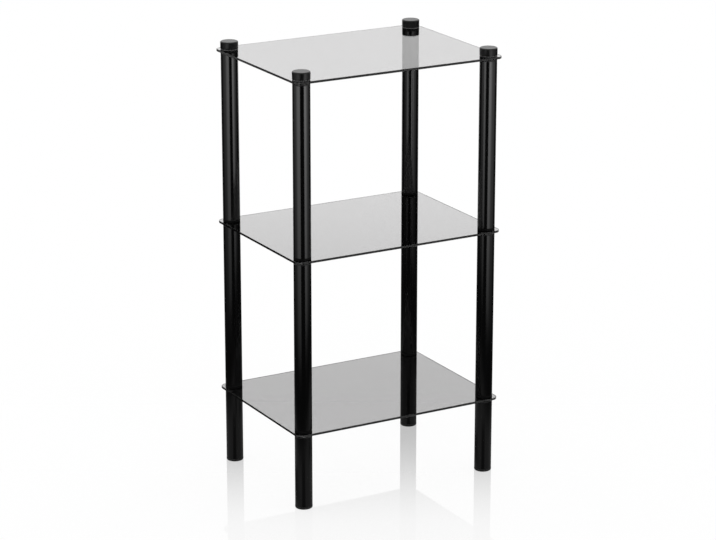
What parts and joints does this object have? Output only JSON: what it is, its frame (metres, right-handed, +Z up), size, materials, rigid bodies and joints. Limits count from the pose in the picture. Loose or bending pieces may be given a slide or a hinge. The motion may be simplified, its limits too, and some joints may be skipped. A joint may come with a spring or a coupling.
{
  "type": "glass etagere",
  "caption": "Free-standing open shelving unit: smoked-glass shelves clamped between sections of black tube at the corners, with flat screw-on caps and plastic feet.",
  "frame": {"origin": "on the floor under the middle of the shelves", "axes": "+Z up, +X along the shelves' long side to the right seen from the front, the front faces -Y"},
  "size_m": [0.4, 0.3, 0.767],
  "materials": {
    "smoked_glass": "clear polished float glass with a grey tint, ground and polished edges",
    "black_tube": "semi-gloss black powder coat",
    "black_cap": "black moulded plastic, satin",
    "black_plastic": "black moulded plastic, fine matte grain",
    "clear_washer": "translucent soft plastic",
    "black_rubber": "matte black rubber",
    "zinc_steel": "zinc-plated thread",
    "brass": "turned brass"
  },
  "bodies": {
    "frame": {"foot_front_left": "black_plastic", "foot_front_right": "black_plastic", "foot_back_left": "black_plastic", "foot_back_right": "black_plastic", "leg_tube_front_left": "black_tube", "leg_tube_front_right": "black_tube", "leg_tube_back_left": "black_tube", "leg_tube_back_right": "black_tube", "lower_tube_front_left": "black_tube", "lower_tube_front_right": "black_tube", "lower_tube_back_left": "black_tube", "lower_tube_back_right": "black_tube", "upper_tube_front_left": "black_tube", "upper_tube_front_right": "black_tube", "upper_tube_back_left": "black_tube", "upper_tube_back_right": "black_tube", "leg_top_plugs": "black_plastic", "lower_tube_bottom_plugs": "black_plastic", "lower_tube_top_plugs": "black_plastic", "upper_tube_bottom_plugs": "black_plastic", "upper_tube_top_plugs": "black_plastic", "leg_top_inserts": "brass", "lower_tube_bottom_inserts": "brass", "lower_tube_top_inserts": "brass", "upper_tube_bottom_inserts": "brass", "upper_tube_top_inserts": "brass", "bottom_shelf_studs": "zinc_steel", "middle_shelf_studs": "zinc_steel", "bottom_shelf_lower_washers": "black_rubber", "bottom_shelf_upper_washers": "black_rubber", "middle_shelf_lower_washers": "black_rubber", "middle_shelf_upper_washers": "black_rubber", "top_shelf_lower_washers": "black_rubber", "top_shelf_upper_washers": "clear_washer", "bottom_shelf": "smoked_glass", "middle_shelf": "smoked_glass", "top_shelf": "smoked_glass"},
    "front_left_stud": {"cap_stud_front_left": "zinc_steel"},
    "front_left_cap": {"cap_front_left": "black_cap"},
    "front_right_stud": {"cap_stud_front_right": "zinc_steel"},
    "front_right_cap": {"cap_front_right": "black_cap"},
    "back_left_stud": {"cap_stud_back_left": "zinc_steel"},
    "back_left_cap": {"cap_back_left": "black_cap"},
    "back_right_stud": {"cap_stud_back_right": "zinc_steel"},
    "back_right_cap": {"cap_back_right": "black_cap"}
  },
  "joints": [
    {"name": "front_left_cap_lift", "type": "slide", "parent": "frame", "child": "front_left_stud", "axis": [0, 0, 1], "range_m": [0, 0.01]},
    {"name": "front_left_cap_turn", "type": "hinge", "parent": "front_left_stud", "child": "front_left_cap", "pos_m": [-0.1805, -0.1305, 0.754], "axis": [0, 0, 1], "range_deg": [0, 2880]},
    {"name": "front_right_cap_lift", "type": "slide", "parent": "frame", "child": "front_right_stud", "axis": [0, 0, 1], "range_m": [0, 0.01]},
    {"name": "front_right_cap_turn", "type": "hinge", "parent": "front_right_stud", "child": "front_right_cap", "pos_m": [0.1805, -0.1305, 0.754], "axis": [0, 0, 1], "range_deg": [0, 2880]},
    {"name": "back_left_cap_lift", "type": "slide", "parent": "frame", "child": "back_left_stud", "axis": [0, 0, 1], "range_m": [0, 0.01]},
    {"name": "back_left_cap_turn", "type": "hinge", "parent": "back_left_stud", "child": "back_left_cap", "pos_m": [-0.1805, 0.1305, 0.754], "axis": [0, 0, 1], "range_deg": [0, 2880]},
    {"name": "back_right_cap_lift", "type": "slide", "parent": "frame", "child": "back_right_stud", "axis": [0, 0, 1], "range_m": [0, 0.01]},
    {"name": "back_right_cap_turn", "type": "hinge", "parent": "back_right_stud", "child": "back_right_cap", "pos_m": [0.1805, 0.1305, 0.754], "axis": [0, 0, 1], "range_deg": [0, 2880]}
  ],
  "couplings": [
    {"joint": "front_left_cap_lift", "follows": "front_left_cap_turn", "m_per_rad": 0.00019894},
    {"joint": "front_right_cap_lift", "follows": "front_right_cap_turn", "m_per_rad": 0.00019894},
    {"joint": "back_left_cap_lift", "follows": "back_left_cap_turn", "m_per_rad": 0.00019894},
    {"joint": "back_right_cap_lift", "follows": "back_right_cap_turn", "m_per_rad": 0.00019894}
  ]
}
